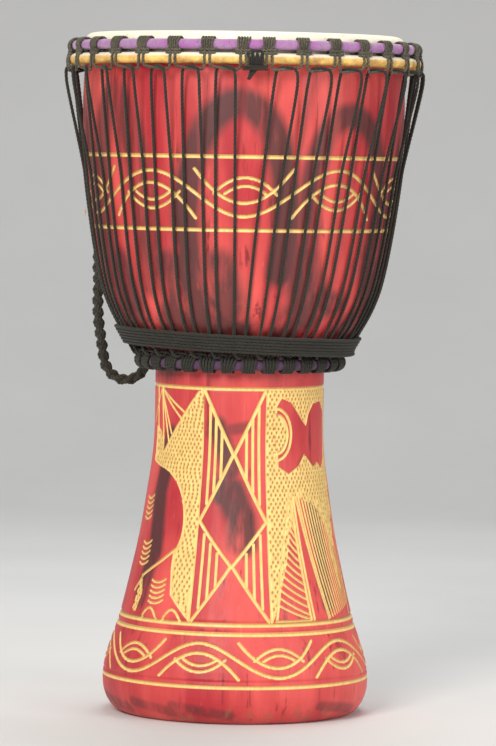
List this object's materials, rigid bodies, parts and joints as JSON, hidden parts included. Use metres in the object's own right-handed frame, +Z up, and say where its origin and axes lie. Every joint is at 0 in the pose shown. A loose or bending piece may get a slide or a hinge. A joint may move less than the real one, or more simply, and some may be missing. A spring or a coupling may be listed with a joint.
{
  "type": "goblet hand drum",
  "caption": "Goblet-shaped wooden hand drum with a skin head laced to a wire ring, cloth-wrapped tuning ring, rope cradles, carved bowl and foot, and a hanging rope handle.",
  "frame": {"origin": "centre of the ring the foot stands on, at floor level", "axes": "+Z up along the drum's axis to the playing surface, -Y towards the viewer, the rope handle at -X"},
  "size_m": [0.326, 0.3263, 0.61],
  "materials": {
    "stained_wood": "red stain rubbed over carved wood, dark brushed patches, pale raw wood in the cuts",
    "goat_skin": "matt, taut, faintly spotted",
    "steel_wire": "dull",
    "ring_cloth": "dusty mauve woven strip",
    "dark_rope": "dark twisted cord with dusty highlights",
    "braided_rope": "dusty braided cord",
    "pale_thread": "matt"
  },
  "bodies": {
    "drum": {"shell": "stained_wood", "drum_skin": "goat_skin", "lower_ring": "steel_wire", "lower_ring_cloth": "ring_cloth", "lower_cradle_rope": "dark_rope", "tension_rope": "dark_rope", "waist_wrap_rope": "dark_rope", "handle_ties": "dark_rope", "thread_knot": "pale_thread"},
    "crown": {"crown_ring": "steel_wire", "crown_ring_cloth": "ring_cloth", "flesh_ring": "steel_wire", "upper_cradle_rope": "dark_rope", "cradle_tie": "dark_rope"},
    "handle": {"handle_rope": "braided_rope", "handle_knots": "braided_rope"}
  },
  "joints": [
    {"name": "crown_tuning", "type": "slide", "parent": "drum", "child": "crown", "axis": [0, 0, -1], "range_m": [0, 0.003], "deforming": ["drum_skin", "tension_rope"]},
    {"name": "handle_swing", "type": "hinge", "parent": "drum", "child": "handle", "pos_m": [-0.13051, 0.04725, 0.417], "axis": [0.3977, 0.0842, -0.9136], "range_deg": [-30, 45]}
  ]
}
